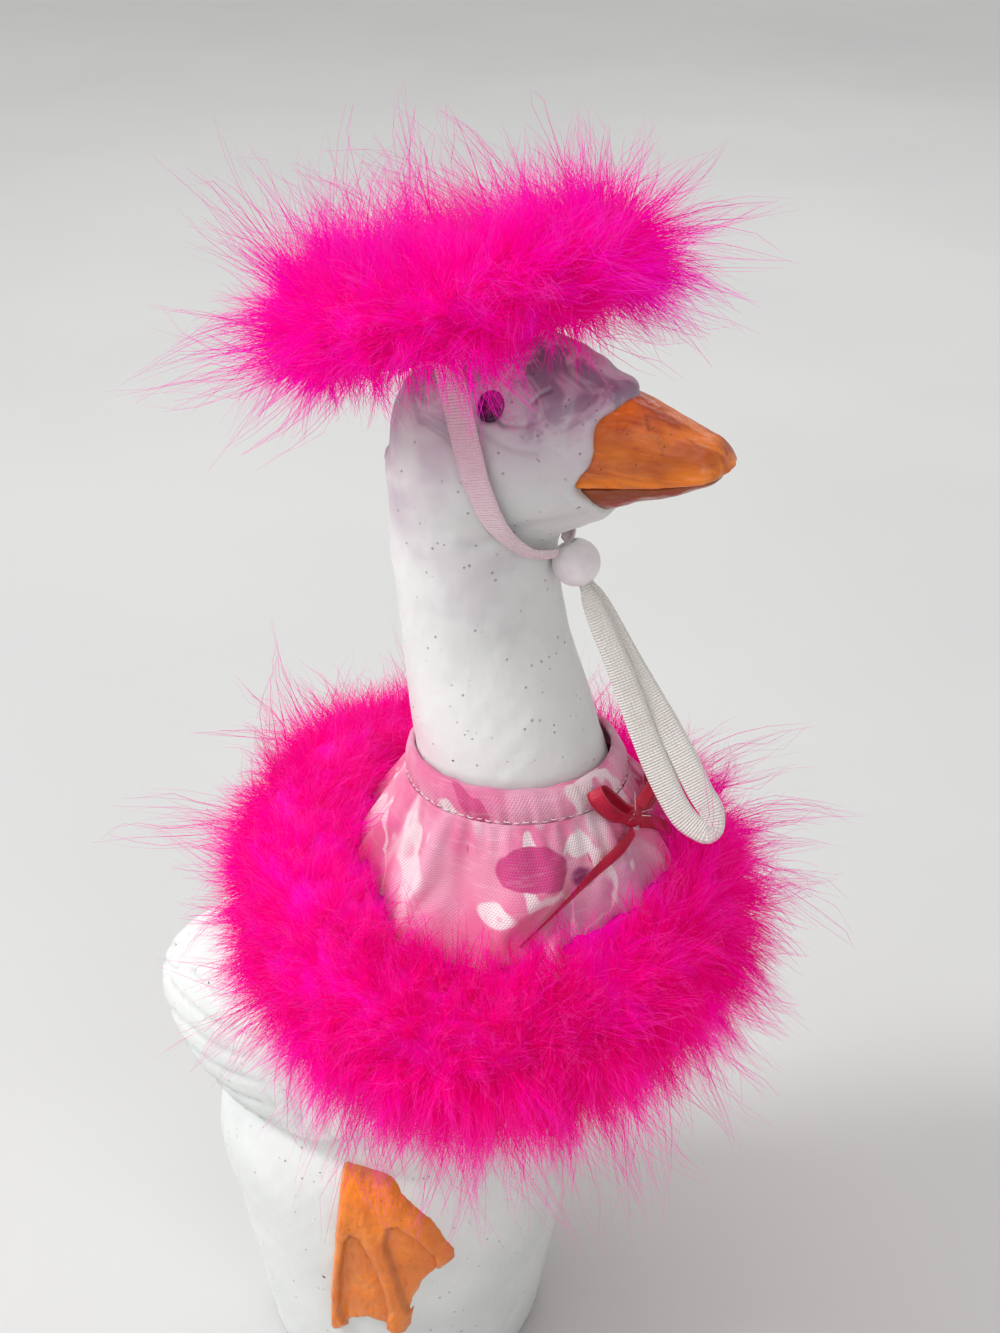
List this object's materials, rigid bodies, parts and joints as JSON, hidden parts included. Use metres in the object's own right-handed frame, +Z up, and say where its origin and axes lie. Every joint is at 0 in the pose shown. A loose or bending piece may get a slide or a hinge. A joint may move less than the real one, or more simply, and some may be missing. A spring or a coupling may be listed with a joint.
{
  "type": "porch goose figurine",
  "caption": "Painted cement porch goose standing on its own base, dressed in a feather-trimmed hat with a chin elastic and a print cotton cape tied with a satin ribbon.",
  "frame": {"origin": "centre of the flat underside of the base", "axes": "+Z up, +X the way the goose faces, -Y towards its right side"},
  "size_m": [0.166, 0.138, 0.3185],
  "materials": {
    "white_paint": "satin paint over cement",
    "orange_paint": "satin brushed paint",
    "eye_paint": "gloss paint",
    "rod_steel": "plain",
    "print_cotton": "plain weave print",
    "marabou": "feather down",
    "thread": "sewing thread",
    "elastic": "woven elastic",
    "silicone": "matte translucent",
    "satin_ribbon": "satin"
  },
  "bodies": {
    "goose": {"goose_casting": "white_paint", "upper_bill": "orange_paint", "lower_bill": "orange_paint", "right_eye": "eye_paint", "left_eye": "eye_paint", "right_foot": "orange_paint", "left_foot": "orange_paint", "neck_rod": "rod_steel"},
    "hat": {"hat_base": "print_cotton", "hat_crown": "print_cotton", "hat_boa_core": "thread", "hat_boa": "marabou", "strap_stitches": "thread", "chin_elastic_right": "elastic", "chin_elastic_left": "elastic"},
    "tail_loop": {"elastic_tail_loop": "elastic"},
    "bead": {"cord_bead": "silicone"},
    "cape": {"cape_panel": "print_cotton", "cape_casing": "print_cotton", "casing_stitches": "thread", "drawstring_ribbon": "satin_ribbon", "ribbon_knot": "satin_ribbon", "ribbon_loop_right": "satin_ribbon", "ribbon_loop_left": "satin_ribbon", "ribbon_tail_right": "satin_ribbon", "ribbon_tail_left": "satin_ribbon", "cape_boa_core": "thread", "cape_boa": "marabou"}
  },
  "joints": [
    {"name": "hat_lift", "type": "slide", "parent": "goose", "child": "hat", "axis": [-0.2756, 0, 0.9613], "range_m": [0, 0.015], "deforming": ["chin_elastic_right", "chin_elastic_left"]},
    {"name": "loop_swing", "type": "hinge", "parent": "goose", "child": "tail_loop", "pos_m": [0.0485, 0, 0.237], "axis": [0, -1, 0], "range_deg": [0, 60]},
    {"name": "bead_slide", "type": "slide", "parent": "tail_loop", "child": "bead", "axis": [0.4688, 0, -0.8833], "range_m": [0, 0.025], "deforming": ["elastic_tail_loop"]},
    {"name": "cape_lift", "type": "slide", "parent": "goose", "child": "cape", "axis": [-0.16, 0, 0.9871], "range_m": [0, 0.012]}
  ]
}
